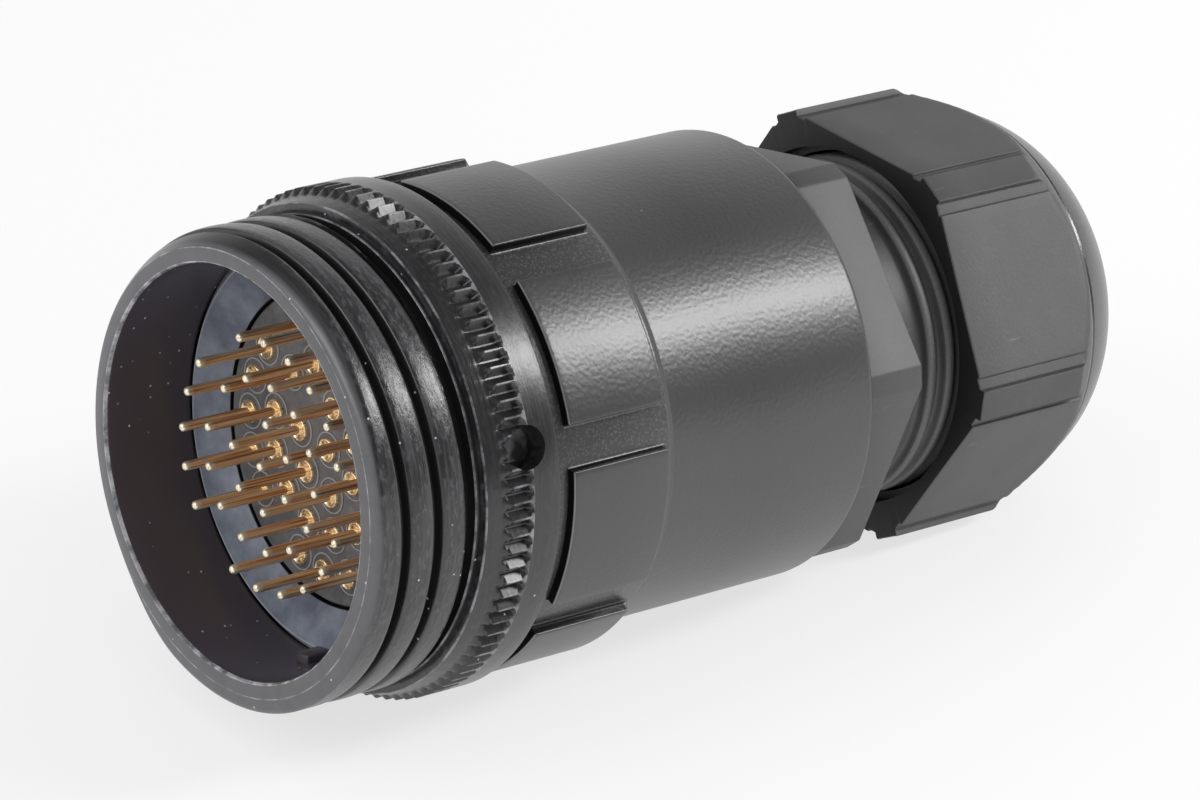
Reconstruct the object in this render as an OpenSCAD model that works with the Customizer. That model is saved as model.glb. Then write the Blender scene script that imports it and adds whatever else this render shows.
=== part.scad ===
// Round multi-contact cable connector: threaded nose with 37 pins, gripped
// sleeve and screwed cable gland. The axis lies along X, the nose rim is at X = 0
// and +Z is up with a flat of the gland nut at the bottom. All sizes in millimetres.

/* [Nose shell] */
// Bore radius of the nose
bore_r = 21.4; // [20.5:0.1:22.5]
// Depth from the rim to the contact insert
bore_depth = 10.8; // [9:0.1:13]
// Wall between the bore and the root of the coupling thread
nose_wall = 1.9; // [1.6:0.1:2.6]
// Depth of the rounded coupling thread
thread_depth = 1.4; // [1:0.1:1.7]
// Pitch of the coupling thread
thread_pitch = 4; // [3.4:0.1:4.4]
// Length from the rim to the knurled ring
nose_len = 12.7; // [12.2:0.1:15]
// Length of the chamfer behind the rim
rim_lead = 1; // [0.6:0.1:1.4]
// Length of the undercut behind the thread
relief_len = 1.5; // [1:0.1:2]
// Width of the polarising key in the bore
key_w = 2.2; // [1.6:0.1:3]
// Height of the polarising key
key_h = 0.9; // [0.6:0.1:1.3]
// Length of the polarising key
key_len = 5.4; // [4:0.1:7]

/* [Knurled ring] */
// Step from the thread crest up to the ring's front band
ring_step = 0.95; // [0.6:0.05:1.4]
// Step from the front band up to the full ring
knurl_step = 0.95; // [0.8:0.05:1.3]
// Length of the smooth front band
band_len = 1.7; // [1.2:0.1:2.5]
// Length of the knurl
knurl_len = 3.5; // [2.8:0.1:4.5]
// Length of the smooth rear band
rear_band_len = 3.4; // [2.6:0.1:4.5]
// Number of knurl teeth
knurl_count = 96; // [72:4:108]
// Depth of the knurl grooves
knurl_depth = 0.8; // [0.5:0.05:0.9]
// Radius of the spanner hole
spanner_r = 2.25; // [1.6:0.05:2.5]
// Depth of the spanner hole
spanner_depth = 2.9; // [2:0.1:3.2]

/* [Insert] */
// Shoulder that stops the insert in the shell
shoulder = 0.5; // [0.3:0.05:0.8]
// Wall of the threaded spigot behind the ring
spigot_wall = 1.1; // [0.9:0.1:1.6]
// Outer thickness of the face seal
seal_len = 2.8; // [2.3:0.1:3.5]
// Sink of the front insulator's face below the seal's outer edge
face_sink = 1.8; // [1.2:0.1:2]
// Radius of the front insulator's face
face_r = 16.4; // [15.6:0.1:17.4]
// Gap between the face seal and the front insulator
face_gap = 0.35; // [0.2:0.05:0.6]
// Length of the front insulator behind the seal
front_ins_len = 6.4; // [5:0.1:8]
// Length of the rear insulator
rear_ins_len = 8.5; // [6:0.1:10]
// Length of the retaining nut
ret_nut_len = 3.5; // [2.8:0.1:4.5]
// Radial width of the retaining nut
ret_nut_w = 3.6; // [2.8:0.1:4.2]
// Width of the spanner slots in the retaining nut
ret_slot_w = 3; // [2:0.1:4]

/* [Contacts] */
// Radius of a contact pin
pin_r = 0.5; // [0.45:0.01:0.6]
// Free length of a pin in front of the insulator
pin_reach = 9; // [7:0.1:10]
// Radius of the inner contact ring
pin_ring_r = 4.8; // [4.4:0.05:5.2]
// Radial spacing of the contact rings
ring_gap = 4.2; // [3.9:0.05:4.4]
// Radius of the contact barrel inside the insulator
barrel_r = 0.95; // [0.85:0.01:1.05]
// Radius of the flange that locks a contact between the insulators
lock_r = 1.3; // [1.2:0.01:1.45]
// Length of the wire cup behind the insulator
cup_len = 5.5; // [4:0.1:7]
// Turn of the contact pattern and the grip pads about the axis
clock = 49.4; // [0:0.1:360]

/* [Sleeve] */
// Wall of the grip band over the spigot
grip_wall = 1.85; // [1.6:0.05:2.4]
// Height of the grip pads
pad_h = 1.15; // [0.7:0.05:1.6]
// Number of grip pads
pad_count = 8; // [6:1:10]
// Angle of the groove between two pads
pad_groove = 10.5; // [7:0.5:16]
// Length from the knurled ring to the pads
pad_gap = 2.7; // [2:0.1:4]
// Length of the pads
pad_len = 12.8; // [11:0.1:16]
// Step from the grip band down to the plain sleeve
sleeve_step = 0.6; // [0.3:0.05:0.9]
// Wall of the plain sleeve
sleeve_wall = 1.9; // [1.4:0.05:2.4]
// Length of the plain sleeve
sleeve_len = 28.3; // [22:0.1:40]
// Thickness of the end wall that takes the gland
end_wall = 7.6; // [6:0.1:9]

/* [Cable gland] */
// Radius of the bore that grips the cable
cable_r = 11; // [9.5:0.1:12]
// Wall of the rubber seal
seal_wall = 2.9; // [2:0.1:3.5]
// Wall of the clamp cage
cage_wall = 1.9; // [1.5:0.1:2.4]
// Number of clamp fingers
finger_count = 12; // [8:1:16]
// Width of the slots between the fingers
finger_slot = 1.6; // [1:0.1:2.2]
// Wall of the gland body under its nut thread
gland_wall = 1.2; // [1:0.1:1.8]
// Depth of the nut thread
gland_thread_depth = 1.1; // [0.7:0.05:1.3]
// Pitch of the nut thread
gland_pitch = 2.6; // [2.2:0.1:3]
// Radius of the thread that screws into the sleeve
entry_r = 16; // [15.2:0.1:16.8]
// Thickness of the hexagon flange
flange_len = 7.3; // [6:0.1:9]
// Turn of the flange against the nut
flange_turn = -12.7; // [-30:0.1:30]
// Width of the corner facets on the flange
flange_facet = 2.4; // [1.6:0.1:3.2]
// Length of the nut thread behind the flange
gland_neck_len = 17.6; // [16:0.1:19]

/* [Gland nut] */
// Wall of the nut between its thread and a flat
nut_wall = 2.2; // [1.7:0.1:3]
// Gap between the flange and the nut
nut_gap = 8.8; // [7.5:0.1:9.5]
// Straight length of the nut
nut_len = 14.2; // [12.5:0.1:17]
// Length of the chamfer that ends the flats
nut_chamfer = 5.4; // [4.8:0.1:6]
// Radius of the dome's section
dome_r = 13.8; // [12.5:0.1:15]
// Width of a corner rib
rib_w = 3.5; // [2.6:0.1:4.2]
// Cut of the corner below the sharp hexagon corner
rib_cut = 0.65; // [0.45:0.05:0.8]
// Width of the shallow strip beside a rib
strip_w = 1.45; // [0.8:0.05:2]
// Depth of that strip
strip_d = 0.25; // [0.15:0.05:0.4]

/* [Fits] */
// Radial clearance of the screwed and pushed fits
fit_gap = 0.05; // [0.03:0.01:0.1]
// Clearance of the moving gland pieces
run_gap = 0.3; // [0.25:0.05:0.5]

/* [Hidden] */
$fn = 96;
over = 1;

// Places along the axis
ring_x = nose_len;
knurl_x = ring_x + band_len;
rear_band_x = knurl_x + knurl_len;
sleeve_x = rear_band_x + rear_band_len;
face_x = bore_depth + face_sink;
seal_back_x = bore_depth + seal_len;
split_x = seal_back_x + front_ins_len;
stack_x = split_x + rear_ins_len;
ret_nut_x = stack_x + ret_nut_len;
spigot_lip = 1;
spigot_x = ret_nut_x + spigot_lip;
pad_x = sleeve_x + pad_gap;
step_x = pad_x + pad_len;
end_x = step_x + sleeve_len;
flange_x = end_x + flange_len;
gland_end_x = flange_x + gland_neck_len;
nut_x = flange_x + nut_gap;
dome_x = nut_x + nut_len;

// Radii of the nose and the sleeve
root_r = bore_r + nose_wall;
thread_r = root_r + thread_depth;
rim_r = root_r - 0.2;
relief_r = root_r - 0.2;
ring_front_r = thread_r + ring_step;
ring_r = ring_front_r + knurl_step;
insert_r = bore_r + shoulder;
spigot_r = insert_r + spigot_wall;
grip_r = spigot_r + fit_gap + grip_wall;
pad_r = grip_r + pad_h;
sleeve_r = grip_r - sleeve_step;
cavity_r = sleeve_r - sleeve_wall;

// Radii of the gland
seal_r = cable_r + seal_wall;
cage_r = seal_r + fit_gap + cage_wall;
seat_r = cage_r + run_gap;
gland_root_r = seat_r + gland_wall;
gland_thread_r = gland_root_r + gland_thread_depth;
nut_bore_r = gland_thread_r + run_gap;
passage_r = cable_r + 2;
nut_hole_r = cable_r + 1.7;
flat_r = nut_bore_r + nut_wall;
corner_r = flat_r / cos(30);
dome_base_r = flat_r + 0.35;
dome_lip = 0.5;
dome_mid_r = dome_base_r - dome_r;
nut_end_x = dome_x + sqrt(dome_r * dome_r - pow(nut_hole_r + dome_lip - dome_mid_r, 2));

// Revolves a profile of [x, r] points about the X axis
module turned(profile, angle = 360) {
    rotate([90, 0, 90])
        rotate_extrude(angle = angle)
            polygon([for (p = profile) [p[1], p[0]]]);
}

// Extrudes a flat shape of [y, z] points along X
module along(from, to) {
    translate([from, 0, 0])
        rotate([90, 0, 90])
            linear_extrude(to - from)
                children();
}

// A plain rod along X
module rod(r, from, to) {
    translate([from, 0, 0])
        rotate([0, 90, 0])
            cylinder(r = r, h = to - from);
}

// Points of a section of [dx, r] pairs at one angle of a helix
function helix_ring(section, x, a) = [for (s = section) [x + s[0], s[1] * cos(a), s[1] * sin(a)]];

// Sweeps a section along a right-handed helix about X
module helix(section, pitch, x0, a0, turns, steps) {
    count = round(turns * steps);
    n = len(section);
    points = [for (i = [0:count])
        each helix_ring(section, x0 + pitch * i / steps, a0 + 360 * i / steps)];
    sides = [for (i = [0:count - 1], j = [0:n - 1])
        let (k = (j + 1) % n)
        each [[i * n + j, (i + 1) * n + k, (i + 1) * n + j], [i * n + j, i * n + k, (i + 1) * n + k]]];
    caps = [for (j = [0:floor(n / 2) - 1])
        each [[n - 1 - j, j + 1, j], if (j + 1 < n - 2 - j) [n - 1 - j, n - 2 - j, j + 1]]];
    last = [for (f = caps) [f[2] + count * n, f[1] + count * n, f[0] + count * n]];
    polyhedron(points, concat(sides, caps, last), convexity = 10);
}

// Contact rings: radius, angle between slots, number of slots, first slot and empty slots
pin_rings = [[0, 0, 1, 0, []],
             [pin_ring_r, 54, 6, 45, []],
             [pin_ring_r + ring_gap, 27, 13, 45, []],
             [pin_ring_r + 2 * ring_gap, 18, 20, 18, [5, 12, 19]]];
pin_spots = [for (ring = pin_rings, i = [0:ring[2] - 1])
    if (len(search(i, ring[4])) == 0)
        let (a = clock - ring[3] - ring[1] * i)
        ring[0] * [cos(a), sin(a)]];

module at_pins() {
    for (p = pin_spots)
        translate([0, p[0], p[1]])
            children();
}

// Groove of the coupling thread: round-bottomed, with rounded crests beside it
thread_start = -2.2;
thread_start_angle = 27;
thread_x = ring_x - relief_len;
thread_turns = (thread_x - 1.9 - thread_start) / thread_pitch;
thread_steps = 30;
groove_section = [[1.5, thread_r + 0.5], [0.85, thread_r - 0.1], [0.6, thread_r - 0.5],
                  [0.35, root_r + 0.15], [0, root_r], [-0.35, root_r + 0.15],
                  [-0.6, thread_r - 0.5], [-0.85, thread_r - 0.1], [-1.5, thread_r + 0.5]];

module front_shell() {
    edge = 0.25;
    knurl_lead = 0.9;
    spanner_x = (knurl_x + sleeve_x) / 2 - 0.45;
    spanner_angle = 158.9;
    key_angle = -102.4;
    oring_r = spigot_r - 0.2;
    color("#26272a") {
        difference() {
            turned([[0, bore_r - over], [0, rim_r], [rim_lead, thread_r], [thread_x - 0.3, thread_r],
                    [thread_x + 0.5, relief_r], [ring_x, relief_r], [ring_x, ring_front_r - edge],
                    [ring_x + edge, ring_front_r], [knurl_x, ring_front_r], [knurl_x + knurl_lead, ring_r],
                    [sleeve_x - edge, ring_r], [sleeve_x, ring_r - edge], [sleeve_x, oring_r],
                    [sleeve_x + 1.3, oring_r], [sleeve_x + 1.5, spigot_r], [spigot_x - 0.5, spigot_r],
                    [spigot_x, spigot_r - 0.5], [spigot_x, bore_r - over]]);
            rod(bore_r, -over, spigot_x + over);
            rod(insert_r, bore_depth, spigot_x + over);
            helix(groove_section, thread_pitch, thread_start, thread_start_angle, thread_turns, thread_steps);
            for (i = [0:knurl_count - 1])
                rotate([360 * i / knurl_count, 0, 0])
                    along(knurl_x - over, rear_band_x)
                        polygon([[ring_r - knurl_depth, 0], [ring_r + 0.2, -knurl_depth],
                                 [ring_r + 0.2, knurl_depth]]);
            rotate([spanner_angle, 0, 0])
                translate([spanner_x, ring_r - spanner_depth, 0])
                    rotate([-90, 0, 0])
                        cylinder(r = spanner_r, h = spanner_depth + over);
        }
        rotate([key_angle, 0, 0])
            along(bore_depth - key_len, bore_depth)
                translate([bore_r - key_h, -key_w / 2])
                    square([key_h + nose_wall / 3, key_w]);
    }
}

module face_seal() {
    lip = 0.4;
    seal_in_r = face_r + face_gap;
    color("#5d6475")
        turned([[bore_depth, insert_r - fit_gap], [bore_depth, bore_r - lip],
                [face_x - 0.7, seal_in_r + 0.5], [face_x, seal_in_r], [seal_back_x, seal_in_r],
                [seal_back_x, insert_r - fit_gap]]);
}

module front_insulator() {
    edge = 0.2;
    color("#3a3b3f")
        difference() {
            turned([[face_x, 0], [face_x, face_r - edge], [face_x + edge, face_r], [seal_back_x, face_r],
                    [seal_back_x, insert_r - fit_gap], [split_x, insert_r - fit_gap], [split_x, 0]]);
            at_pins() {
                rod(barrel_r + fit_gap, face_x - over, split_x + over);
                rod(lock_r + fit_gap, split_x - lock_len / 2 - fit_gap, split_x + over);
            }
        }
}

module rear_insulator() {
    color("#2f3033")
        difference() {
            rod(insert_r - fit_gap, split_x, stack_x);
            at_pins() {
                rod(barrel_r + fit_gap, split_x - over, stack_x + over);
                rod(lock_r + fit_gap, split_x - over, split_x + lock_len / 2 + fit_gap);
            }
        }
}

// One contact: round-tipped pin, barrel, locking flange and an open wire cup
lock_len = 1.6;
module contact() {
    tip_x = face_x - pin_reach;
    collar_x = face_x - 0.35;
    cup_x = stack_x + 0.6;
    cup_end_x = stack_x + cup_len;
    cup_in_r = barrel_r - 0.25;
    difference() {
        turned([[tip_x, 0], for (a = [30:30:90]) [tip_x + pin_r * (1 - cos(a)), pin_r * sin(a)],
                [collar_x, pin_r], [collar_x, barrel_r - 0.15], [collar_x + 0.15, barrel_r],
                [split_x - lock_len / 2, barrel_r], [split_x - lock_len / 2, lock_r],
                [split_x + lock_len / 2, lock_r], [split_x + lock_len / 2, barrel_r],
                [cup_end_x, barrel_r], [cup_end_x, 0]]);
        rod(cup_in_r, cup_x, cup_end_x + over);
        translate([cup_x + 1.2, -over, 0.25])
            cube([cup_len, 2 * over, over]);
    }
}

module contact_pins() {
    color("#b98a4e")
        at_pins()
            contact();
}

module retaining_nut() {
    in_r = insert_r - fit_gap - ret_nut_w;
    slot_d = 1.6;
    color("#3d3f42")
        difference() {
            rod(insert_r - fit_gap, stack_x, ret_nut_x);
            rod(in_r, stack_x - over, ret_nut_x + over);
            for (a = [0:90:270])
                rotate([a, 0, 0])
                    translate([ret_nut_x - slot_d, in_r - over, -ret_slot_w / 2])
                        cube([slot_d + over, ret_nut_w + 3 * over, ret_slot_w]);
        }
}

// A rubber ring of round section
module oring(x, r, section) {
    color("#1b1b1c")
        translate([x, 0, 0])
            rotate([90, 0, 90])
                rotate_extrude()
                    translate([r, 0])
                        circle(r = section, $fn = 32);
}

shell_oring_s = 0.5;
shell_oring_r = spigot_r - 0.2 + fit_gap + shell_oring_s;
module shell_oring() {
    oring(sleeve_x + fit_gap + shell_oring_s, shell_oring_r, shell_oring_s);
}

module sleeve() {
    edge = 0.5;
    socket_x = spigot_x + 0.5;
    oring_seat_r = shell_oring_r + shell_oring_s + fit_gap;
    pad_angle = 360 / pad_count - pad_groove;
    wall_x = end_x - end_wall;
    color("#222325")
        difference() {
            union() {
                turned([[sleeve_x, 0], [sleeve_x, grip_r], [step_x, grip_r], [step_x + 0.15, sleeve_r],
                        [end_x - edge, sleeve_r], [end_x - 0.15, sleeve_r - 0.15], [end_x, sleeve_r - edge],
                        [end_x, 0]]);
                for (i = [0:pad_count - 1])
                    rotate([clock + 360 * i / pad_count - pad_angle / 2, 0, 0])
                        turned([[pad_x, grip_r - 0.4], [pad_x, pad_r - 0.45], [pad_x + 0.15, pad_r - 0.15],
                                [pad_x + 0.5, pad_r], [step_x - 0.9, pad_r], [step_x - 0.25, pad_r - 0.25],
                                [step_x, pad_r - 0.8], [step_x, grip_r - 0.4]], pad_angle);
            }
            rod(spigot_r + fit_gap, sleeve_x - over, socket_x);
            turned([[sleeve_x - over, 0], [sleeve_x - over, oring_seat_r],
                    [sleeve_x + 2 * (shell_oring_s + fit_gap), oring_seat_r],
                    [sleeve_x + 2 * (shell_oring_s + fit_gap), 0]]);
            turned([[socket_x - over, 0], [socket_x - over, cavity_r], [wall_x - 3, cavity_r],
                    [wall_x, cavity_r - 3], [wall_x, 0]]);
            rod(entry_r + fit_gap, wall_x - over, end_x + over);
        }
}

gland_oring_s = 0.55;
gland_oring_r = entry_r + fit_gap + gland_oring_s;
module gland_oring() {
    oring(end_x + fit_gap + gland_oring_s, gland_oring_r, gland_oring_s);
}

// Regular hexagon with cut corners, a flat facing -Z when turned by 0
module cut_hexagon(flat, facet) {
    half = facet / 2;
    r = flat / cos(30) - half * tan(30);
    polygon([for (k = [0:5], s = [-1, 1])
        let (a = 60 * k)
        [r * cos(a) - s * half * sin(a), r * sin(a) + s * half * cos(a)]]);
}

module gland_body() {
    groove_len = 2 * (gland_oring_s + fit_gap);
    seat_x = flange_x + 2.2;
    entry_x = end_x - end_wall - 1.2;
    neck_len = 4.9;
    thread_section = [[-1.05, gland_root_r - 0.4], [-0.75, gland_root_r + 0.2], [-0.45, gland_thread_r - 0.15],
                      [0, gland_thread_r], [0.45, gland_thread_r - 0.15], [0.75, gland_root_r + 0.2],
                      [1.05, gland_root_r - 0.4]];
    thread_turns = (gland_neck_len - neck_len - 2.4) / gland_pitch;
    color("#38393b")
        difference() {
            union() {
                turned([[entry_x, 0], [entry_x, entry_r - 0.8], [entry_x + 0.8, entry_r], [end_x + groove_len, entry_r],
                        [end_x + groove_len, 0]]);
                rotate([flange_turn, 0, 0])
                    along(end_x, flange_x)
                        difference() {
                            cut_hexagon(flat_r, flange_facet);
                            circle(r = entry_r - over);
                        }
                turned([[end_x + groove_len, 0], [end_x + groove_len, gland_root_r], [gland_end_x - 1, gland_root_r],
                        [gland_end_x, gland_root_r - 1], [gland_end_x, 0]]);
                helix(thread_section, gland_pitch, flange_x + neck_len, 0, thread_turns, 24);
            }
            turned([[end_x - over, entry_r], [end_x - over, gland_oring_r + gland_oring_s + fit_gap],
                    [end_x + groove_len, gland_oring_r + gland_oring_s + fit_gap], [end_x + groove_len, entry_r]]);
            rod(passage_r, entry_x - over, gland_end_x + over);
            rod(seat_r, seat_x, gland_end_x + over);
        }
}

// Inside of the nut: thread bore, closing cone and cable hole, as [x, r] points
nut_recess = 2.4;
cone_x = dome_x - 0.6;
cone_end_x = nut_end_x - 3;
cone_end_r = nut_hole_r + 0.4;
cone_tan = (nut_bore_r - cone_end_r) / (cone_end_x - cone_x);

module clamp_cage() {
    cage_x = nut_x + 0.4;
    ring_len = 5;
    cage_in_r = seal_r + fit_gap;
    taper_x = cone_x + (nut_bore_r - cage_r - 2 * run_gap) / cone_tan;
    tip_r = cage_in_r + 0.5;
    tip_x = taper_x + (cage_r - tip_r) / cone_tan;
    color("#4a4b4d")
        difference() {
            turned([[cage_x, cage_in_r], [cage_x, cage_r - 0.4], [cage_x + 0.4, cage_r], [taper_x, cage_r],
                    [tip_x, tip_r], [tip_x, cage_in_r]]);
            for (i = [0:finger_count - 1])
                rotate([360 * i / finger_count, 0, 0])
                    translate([cage_x + ring_len, cage_in_r - over, -finger_slot / 2])
                        cube([tip_x - cage_x, cage_wall + 2 * over, finger_slot]);
        }
}

module cable_seal() {
    seal_x = nut_x + 0.4;
    seal_end_x = cone_end_x - 2.4;
    lead = 0.6;
    color("#161617")
        difference() {
            rod(seal_r, seal_x, seal_end_x);
            rod(cable_r, seal_x - over, seal_end_x + over);
        }
}

// Section of the nut: flats, shallow strips and ribs across the cut corners
module nut_section() {
    rib_r = corner_r - rib_cut;
    half = rib_w / 2;
    edge_u = rib_r * cos(30) + half * sin(30);
    edge_v = rib_r * sin(30) - half * cos(30);
    strip_v = edge_v - strip_w;
    flat_points = [[flat_r, -strip_v], [flat_r, strip_v], [flat_r - strip_d, strip_v],
                   [flat_r - strip_d, edge_v - 0.05], [edge_u, edge_v]];
    wall_points = [[edge_u, -edge_v], [flat_r - strip_d, -edge_v + 0.05], [flat_r - strip_d, -strip_v]];
    polygon([for (k = [0:5], p = concat(wall_points, flat_points))
        let (a = 60 * k + 30)
        [p[0] * cos(a) - p[1] * sin(a), p[0] * sin(a) + p[1] * cos(a)]]);
}

module gland_nut() {
    edge = 0.3;
    color("#404143")
        difference() {
            intersection() {
                along(nut_x, nut_end_x + over)
                    nut_section();
                rotate([90, 0, 90])
                    rotate_extrude()
                        intersection() {
                            union() {
                                polygon([[0, nut_x - over], [corner_r - edge - 0.6, nut_x - over],
                                         [corner_r - edge, nut_x], [corner_r, nut_x + edge],
                                         [corner_r, dome_x - 0.7], [dome_base_r - 0.95, dome_x - 0.7 + nut_chamfer],
                                         [0, dome_x - 0.7 + nut_chamfer]]);
                                translate([dome_mid_r, dome_x])
                                    circle(r = dome_r);
                            }
                            translate([0, nut_x - over])
                                square([corner_r + over, nut_end_x - nut_x + over]);
                        }
            }
            rod(nut_bore_r, nut_x - over, cone_x);
            rod(nut_bore_r + 0.8, nut_x - over, nut_x + nut_recess);
            turned([[cone_x - 0.01, 0], [cone_x - 0.01, nut_bore_r], [cone_x, nut_bore_r], [cone_end_x, cone_end_r],
                    [cone_end_x, 0]]);
            rod(nut_hole_r, cone_end_x - over, nut_end_x + over);
        }
}

front_shell();
face_seal();
front_insulator();
rear_insulator();
contact_pins();
retaining_nut();
shell_oring();
sleeve();
gland_body();
gland_oring();
clamp_cage();
cable_seal();
gland_nut();
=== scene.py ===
import bpy
import math
from mathutils import Matrix, Vector


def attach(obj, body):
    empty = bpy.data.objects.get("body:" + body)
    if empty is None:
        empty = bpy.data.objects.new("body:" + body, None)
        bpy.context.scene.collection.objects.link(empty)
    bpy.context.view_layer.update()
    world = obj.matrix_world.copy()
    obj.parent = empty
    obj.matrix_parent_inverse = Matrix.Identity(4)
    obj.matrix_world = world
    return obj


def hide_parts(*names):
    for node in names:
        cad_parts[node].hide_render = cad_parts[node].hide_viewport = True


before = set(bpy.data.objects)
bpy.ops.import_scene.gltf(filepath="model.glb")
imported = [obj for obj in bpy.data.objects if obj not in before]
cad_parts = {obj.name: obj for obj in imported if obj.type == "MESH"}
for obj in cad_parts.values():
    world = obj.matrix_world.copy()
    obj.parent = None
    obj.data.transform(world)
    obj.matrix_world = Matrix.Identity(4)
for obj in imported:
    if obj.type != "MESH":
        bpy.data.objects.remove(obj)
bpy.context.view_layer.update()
mm = 0.001
tiny = 1e-7  # metres, within which points are the same
print("stage 1: CAD frame loaded,", len(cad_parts), "nodes")


# Camera at the photograph's viewing angle, worked out from the connector's own circles
cameraSet = {
    "place": (-0.36691, -0.46530, 0.27651),
    "right": (0.77064, -0.62984, 0.09705),
    "up": (0.19067, 0.37321, 0.90794),
    "lens": 195.68, "sensor": 36.0,  # mm
    "nearest": 0.01,
}
right = Vector(cameraSet["right"]).normalized()
back = right.cross(Vector(cameraSet["up"])).normalized()
turn = Matrix((right, back.cross(right), back)).transposed()
bpy.ops.object.camera_add(location=cameraSet["place"], rotation=turn.to_euler())
camera = bpy.context.object
camera.data.lens = cameraSet["lens"]
camera.data.sensor_width = cameraSet["sensor"]
camera.data.clip_start = cameraSet["nearest"]
bpy.context.scene.camera = camera
bpy.context.scene.view_settings.view_transform = "Standard"


def srgb(code):
    parts = [int(code[i:i + 2], 16) / 255 for i in (1, 3, 5)]
    flat = [p / 12.92 if p <= 0.04045 else ((p + 0.055) / 1.055) ** 2.4 for p in parts]
    return (*flat, 1.0)


# inputs go by name or number, or as a list in the node's own order; a node stands for its first output
def setInputs(tree, node, inputs):
    for key, value in inputs.items() if isinstance(inputs, dict) else enumerate(inputs):
        if isinstance(value, bpy.types.Node):
            value = next(output for output in value.outputs if output.enabled)
        if isinstance(value, bpy.types.NodeSocket):
            tree.links.new(value, node.inputs[key])
        else:
            node.inputs[key].default_value = value


def addNode(tree, kind, inputs=(), **settings):
    node = tree.nodes.new(kind)
    for key, value in settings.items():
        setattr(node, key, value)
    setInputs(tree, node, inputs)
    return node


# a new material with the place of each point on its piece, in mm
def newMaterial(name):
    material = bpy.data.materials.new(name)
    material.use_nodes = True
    tree = material.node_tree
    coords = addNode(tree, "ShaderNodeTexCoord").outputs["Object"]
    place = addNode(tree, "ShaderNodeVectorMath", {0: coords, "Scale": 1 / mm}, operation="SCALE")
    return material, tree, tree.nodes["Principled BSDF"], place


# how far a point is along the connector's axis, and away from it
def fromAxis(tree, place):
    axes = addNode(tree, "ShaderNodeSeparateXYZ", [place])
    across = addNode(tree, "ShaderNodeCombineXYZ", {1: axes.outputs[1], 2: axes.outputs[2]})
    return axes.outputs[0], addNode(tree, "ShaderNodeVectorMath", [across], operation="LENGTH")


# 1 on a strip round the axis: its middle and half width along the axis, then the same away from it
def stripRound(tree, along, radius, x, wide, r, high):
    nearX = addNode(tree, "ShaderNodeMath", [along, x, wide], operation="COMPARE")
    nearR = addNode(tree, "ShaderNodeMath", [radius, r, high], operation="COMPARE")
    return addNode(tree, "ShaderNodeMath", [nearX, nearR], operation="MULTIPLY")


# specks of dust, at most one in each size, and fewer where the level is high
def dustSpecks(tree, place, size, cut, level):
    grit = addNode(tree, "ShaderNodeTexVoronoi", {"Vector": place, "Scale": 1 / size})
    near = addNode(tree, "ShaderNodeMapRange", [grit, *cut])
    some = addNode(tree, "ShaderNodeMath", [grit.outputs["Color"], level], operation="GREATER_THAN")
    return addNode(tree, "ShaderNodeMath", [near, some], operation="MULTIPLY")


# Soft studio: one long soft box along the axis to the right, a weak one in front, a white surround that is
# dimmer overhead and on the camera's side, but open towards the nose
lightSet = {
    "key": {"aim": (0.040, 0.0, 0.0), "from": (0.627, -0.495, 0.600), "distance": 0.70,
            "size": (0.42, 0.15), "watts": 2.35},
    "front": {"aim": (0.0, 0.0, 0.0), "from": (-1.0, 0.18, 0.42), "distance": 0.80,
              "size": (0.45, 0.45), "watts": 1.1},
    "backdrop": (0.68, 0.62, -0.40), "backdropCut": (0.08, 0.85, 0.2, 1.0),
    "opening": (-0.95, 0.25, 0.18), "openingCut": (0.55, 0.85, 0.0, 1.0),
    "fillCut": (0.0, 1.0, 0.46, 1.0),
}
for name in ("key", "front"):
    lamp = lightSet[name]
    way = Vector(lamp["from"]).normalized()
    side = (Vector((1, 0, 0)) - way * way.x).normalized()
    bpy.ops.object.light_add(type="AREA", location=Vector(lamp["aim"]) + way * lamp["distance"],
                             rotation=Matrix((side, way.cross(side), way)).transposed().to_euler())
    light = bpy.context.object
    light.name = name + "Light"
    light.data.shape = "RECTANGLE"
    light.data.size, light.data.size_y = lamp["size"]
    light.data.energy = lamp["watts"]
world = bpy.data.worlds.new("paleStudio")
bpy.context.scene.world = world
world.use_nodes = True
tree = world.node_tree
tree.nodes.clear()
path = addNode(tree, "ShaderNodeLightPath")
seen = addNode(tree, "ShaderNodeMath", [path.outputs["Is Camera Ray"], path.outputs["Is Transmission Ray"]],
               operation="MAXIMUM")
seen = addNode(tree, "ShaderNodeMath", [seen, path.outputs["Is Glossy Ray"]], operation="MAXIMUM")
way = addNode(tree, "ShaderNodeTexCoord").outputs["Generated"]
toBack = addNode(tree, "ShaderNodeVectorMath", [way, lightSet["backdrop"]], operation="DOT_PRODUCT")
backdrop = addNode(tree, "ShaderNodeMapRange", [toBack, *lightSet["backdropCut"]])
toFront = addNode(tree, "ShaderNodeVectorMath", [way, lightSet["opening"]], operation="DOT_PRODUCT")
opening = addNode(tree, "ShaderNodeMapRange", [toFront, *lightSet["openingCut"]])
level = addNode(tree, "ShaderNodeMath", [backdrop, opening], operation="MAXIMUM")
fill = addNode(tree, "ShaderNodeMapRange", [level, *lightSet["fillCut"]])
shown = addNode(tree, "ShaderNodeMath", [level, path.outputs["Is Camera Ray"]], operation="MAXIMUM")
plain = addNode(tree, "ShaderNodeBackground", {"Color": (1, 1, 1, 1), "Strength": fill})
white = addNode(tree, "ShaderNodeBackground", {"Color": (1, 1, 1, 1), "Strength": shown})
mixed = addNode(tree, "ShaderNodeMixShader", [seen, plain, white])
addNode(tree, "ShaderNodeOutputWorld", {"Surface": mixed})

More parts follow.
